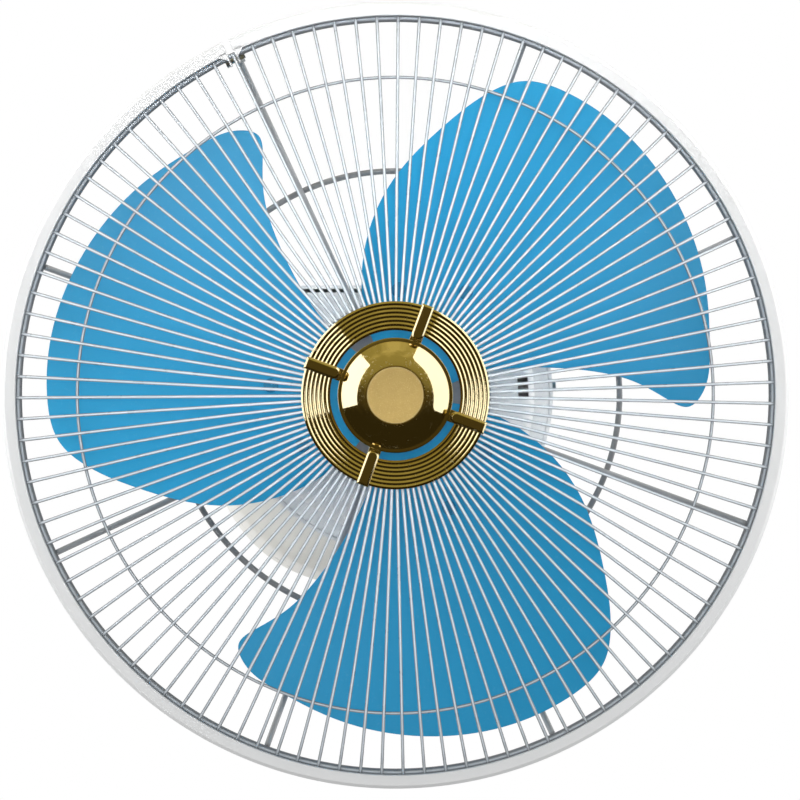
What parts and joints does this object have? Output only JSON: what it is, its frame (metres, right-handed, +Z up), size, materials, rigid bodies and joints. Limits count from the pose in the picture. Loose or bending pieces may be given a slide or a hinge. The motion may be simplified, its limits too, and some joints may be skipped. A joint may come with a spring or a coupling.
{
  "type": "ceiling orbit fan",
  "caption": "Ceiling fan with a caged blue three-blade head that leans on a tilt joint and circles slowly round a fixed shaft under a bowl canopy.",
  "frame": {"origin": "centre of the ceiling plate's top face, which lies against the ceiling", "axes": "+Z up into the ceiling along the fixed shaft; the head leans towards -Y at rest; +X along the tilt bolt, from its hexagon head to the knob"},
  "size_m": [0.4488, 0.4273, 0.3922],
  "materials": {
    "cream_paint": "satin cream enamel",
    "white_paint": "satin white enamel",
    "zinc_steel": "zinc plated",
    "turned_steel": "turned bright",
    "cast_alloy": "as cast, lightly blasted",
    "fork_paint": "satin cream enamel",
    "gear_steel": "machined",
    "gear_nylon": "moulded, greased",
    "bronze": "sintered",
    "motor_can": "zinc plated",
    "black_plastic": "moulded",
    "lamination": "stacked sheet",
    "copper": "enamelled wire",
    "capacitor_case": "moulded",
    "spoke_paint": "grey enamel",
    "wire_paint": "light grey enamel",
    "rim_plastic": "moulded, semi-gloss",
    "gold_polish": "polished and lacquered",
    "gold_brushed": "brushed",
    "spider_steel": "grey enamel",
    "blade_paint": "satin blue enamel",
    "rivet_steel": "bright",
    "chrome_nut": "plated"
  },
  "bodies": {
    "ceiling_mount": {"ceiling_plate": "cream_paint", "canopy": "cream_paint", "canopy_screws": "zinc_steel", "ceiling_shaft": "turned_steel", "flange_bolts": "zinc_steel", "flange_nuts": "zinc_steel", "fixed_gear": "gear_steel", "gear_grub_screws": "zinc_steel", "thrust_washer": "zinc_steel", "shaft_nut": "zinc_steel"},
    "orbit_carriage": {"orbit_case": "cream_paint", "orbit_case_lid": "cream_paint", "lid_screws": "zinc_steel", "orbit_bush": "bronze", "orbit_motor": "motor_can", "orbit_motor_screws": "zinc_steel", "tilt_fork": "fork_paint", "fork_screws": "zinc_steel", "tilt_bolt": "zinc_steel", "tilt_washer": "zinc_steel", "tilt_knob": "black_plastic"},
    "pinion": {"orbit_pinion": "gear_nylon", "pinion_shaft": "turned_steel"},
    "head": {"motor_neck": "cast_alloy", "neck_screws": "zinc_steel", "motor_rear_cover": "white_paint", "motor_rear_bracket": "cast_alloy", "motor_front_bracket": "cast_alloy", "through_bolts": "zinc_steel", "through_nuts": "zinc_steel", "stator_core": "lamination", "stator_windings": "copper", "motor_bearings": "turned_steel", "capacitor": "capacitor_case", "capacitor_clip": "zinc_steel", "motor_front_cover": "white_paint", "cover_screws": "zinc_steel", "rear_guard_plate": "spoke_paint", "rear_guard_spokes": "spoke_paint", "rear_guard_rings": "spoke_paint", "rear_guard_screws": "zinc_steel", "front_guard": "wire_paint", "guard_rim": "rim_plastic", "rim_screw": "zinc_steel", "rim_nut": "zinc_steel", "gold_ring": "gold_polish", "gold_straps": "gold_polish", "strap_screws": "zinc_steel", "gold_dome": "gold_polish", "centre_badge": "gold_brushed"},
    "rotor": {"rotor_core": "lamination", "motor_spindle": "turned_steel", "blade_spider": "spider_steel", "drive_pin": "zinc_steel", "blade_1": "blade_paint", "blade_2": "blade_paint", "blade_3": "blade_paint", "blade_rivets": "rivet_steel", "blade_washer": "zinc_steel", "blade_nut": "chrome_nut"}
  },
  "joints": [
    {"name": "orbit_turn", "type": "hinge", "parent": "ceiling_mount", "child": "orbit_carriage", "pos_m": [0, 0, 0], "axis": [0, 0, 1], "continuous": true},
    {"name": "orbit_pinion_spin", "type": "hinge", "parent": "orbit_carriage", "child": "pinion", "pos_m": [0, 0.035, 0], "axis": [0, 0, 1], "continuous": true},
    {"name": "head_tilt", "type": "hinge", "parent": "orbit_carriage", "child": "head", "pos_m": [0, 0, -0.152], "axis": [1, 0, 0], "range_deg": [-10, 20]},
    {"name": "rotor_spin", "type": "hinge", "parent": "head", "child": "rotor", "pos_m": [0, 0, -0.152], "axis": [0, -0.342, -0.9397], "continuous": true}
  ],
  "couplings": [
    {"joint": "orbit_pinion_spin", "follows": "orbit_turn", "ratio": 3}
  ]
}
